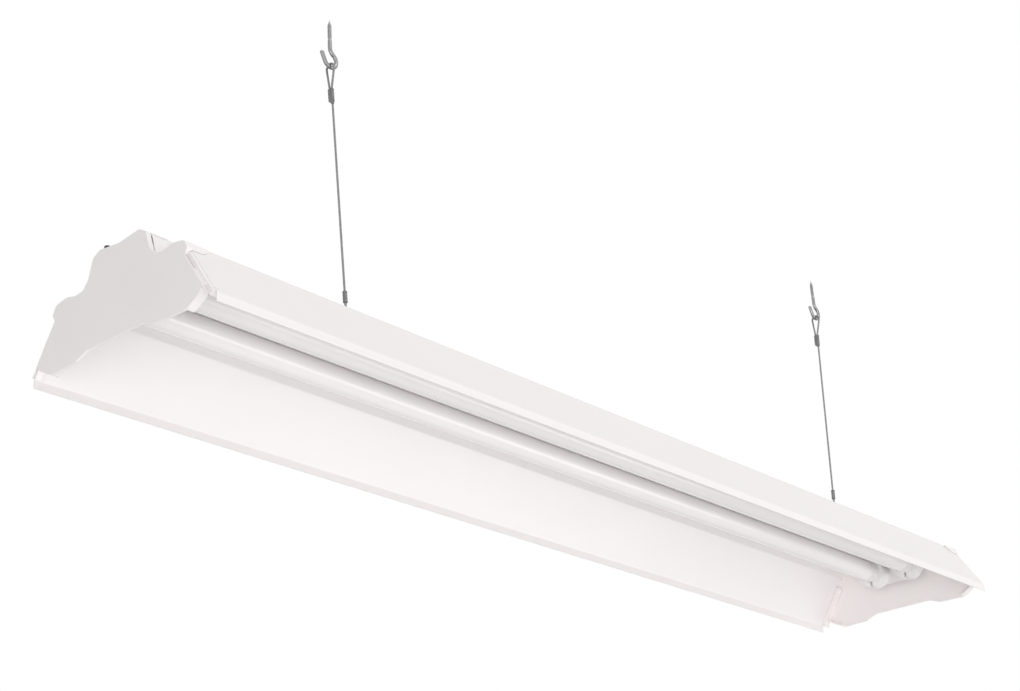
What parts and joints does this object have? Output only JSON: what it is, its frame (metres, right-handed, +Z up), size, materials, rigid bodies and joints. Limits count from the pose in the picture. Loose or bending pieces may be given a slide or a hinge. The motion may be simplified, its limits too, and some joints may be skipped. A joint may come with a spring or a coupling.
{
  "type": "shop light",
  "caption": "Long fluorescent shop light with a formed white reflector, contoured end caps and wire cables on ceiling hooks.",
  "frame": {"origin": "midway between the two ceiling hooks' screws, at the ceiling plane where their threads begin", "axes": "+X along the lamps to the end without the cord inlet, +Y across the light away from the viewer, +Z up"},
  "size_m": [1.258, 0.2374, 0.4316],
  "materials": {
    "white_enamel": "smooth gloss white enamel",
    "cap_plastic": "satin warm light grey moulding",
    "zinc_steel": "zinc-plated sheet",
    "screw_steel": "zinc-plated screws",
    "holder_plastic": "white moulding",
    "pin_brass": "bright brass",
    "lamp_glass": "glass tube with a white coating inside",
    "lamp_end_metal": "satin aluminium",
    "ballast_enamel": "light grey enamel",
    "blue_insulation": "smooth insulation",
    "black_insulation": "smooth insulation",
    "connector_plastic": "smooth moulding",
    "green_steel": "green ground screw",
    "bushing_plastic": "black moulding",
    "zinc_wire": "zinc-plated wire",
    "cable_steel": "galvanised wire rope",
    "dark_ferrule": "dark pressed sleeve"
  },
  "bodies": {
    "ceiling_hooks": {"left_screw_hook": "zinc_wire", "right_screw_hook": "zinc_wire"},
    "left_hanger": {"left_cable": "cable_steel", "left_top_ferrule": "dark_ferrule", "left_low_ferrule": "dark_ferrule", "left_low_hook": "zinc_wire"},
    "right_hanger": {"right_cable": "cable_steel", "right_top_ferrule": "dark_ferrule", "right_low_ferrule": "dark_ferrule", "right_low_hook": "zinc_wire"},
    "fixture": {"reflector_housing": "white_enamel", "left_end_cap": "cap_plastic", "right_end_cap": "cap_plastic", "left_socket_bracket": "white_enamel", "right_socket_bracket": "white_enamel", "bracket_screws": "screw_steel", "front_left_lampholder": "holder_plastic", "front_right_lampholder": "holder_plastic", "rear_left_lampholder": "holder_plastic", "rear_right_lampholder": "holder_plastic", "lampholder_contacts": "pin_brass", "ballast": "ballast_enamel", "ballast_screws": "screw_steel", "wireway_cover": "white_enamel", "cover_straps": "zinc_steel", "cover_screws": "screw_steel", "left_lamp_leads": "blue_insulation", "right_lamp_leads": "blue_insulation", "supply_leads": "black_insulation", "wire_connectors": "connector_plastic", "ground_screw": "green_steel", "cord_bushing": "bushing_plastic"},
    "front_lamp": {"front_lamp_tube": "lamp_glass", "front_lamp_ends": "lamp_end_metal", "front_lamp_pins": "pin_brass", "front_lamp_rotors": "holder_plastic"},
    "rear_lamp": {"rear_lamp_tube": "lamp_glass", "rear_lamp_ends": "lamp_end_metal", "rear_lamp_pins": "pin_brass", "rear_lamp_rotors": "holder_plastic"}
  },
  "joints": [
    {"name": "left_cable_sway", "type": "hinge", "parent": "ceiling_hooks", "child": "left_hanger", "pos_m": [-0.4405, 0, -0.0304], "axis": [1, 0, 0], "range_deg": [-25, 25]},
    {"name": "right_cable_sway", "type": "hinge", "parent": "ceiling_hooks", "child": "right_hanger", "pos_m": [0.4405, 0, -0.0304], "axis": [1, 0, 0], "range_deg": [-25, 25]},
    {"name": "fixture_tilt", "type": "hinge", "parent": "left_hanger", "child": "fixture", "pos_m": [-0.425, 0, -0.31318], "axis": [1, 0, 0], "range_deg": [-15, 15]},
    {"name": "front_lamp_twist", "type": "hinge", "parent": "fixture", "child": "front_lamp", "pos_m": [-0.063, -0.025, -0.3516], "axis": [1, 0, 0], "range_deg": [0, 90]},
    {"name": "rear_lamp_twist", "type": "hinge", "parent": "fixture", "child": "rear_lamp", "pos_m": [-0.063, 0.025, -0.3516], "axis": [1, 0, 0], "range_deg": [0, 90]}
  ],
  "couplings": [
    {"joint": "right_cable_sway", "follows": "left_cable_sway", "ratio": 1}
  ]
}
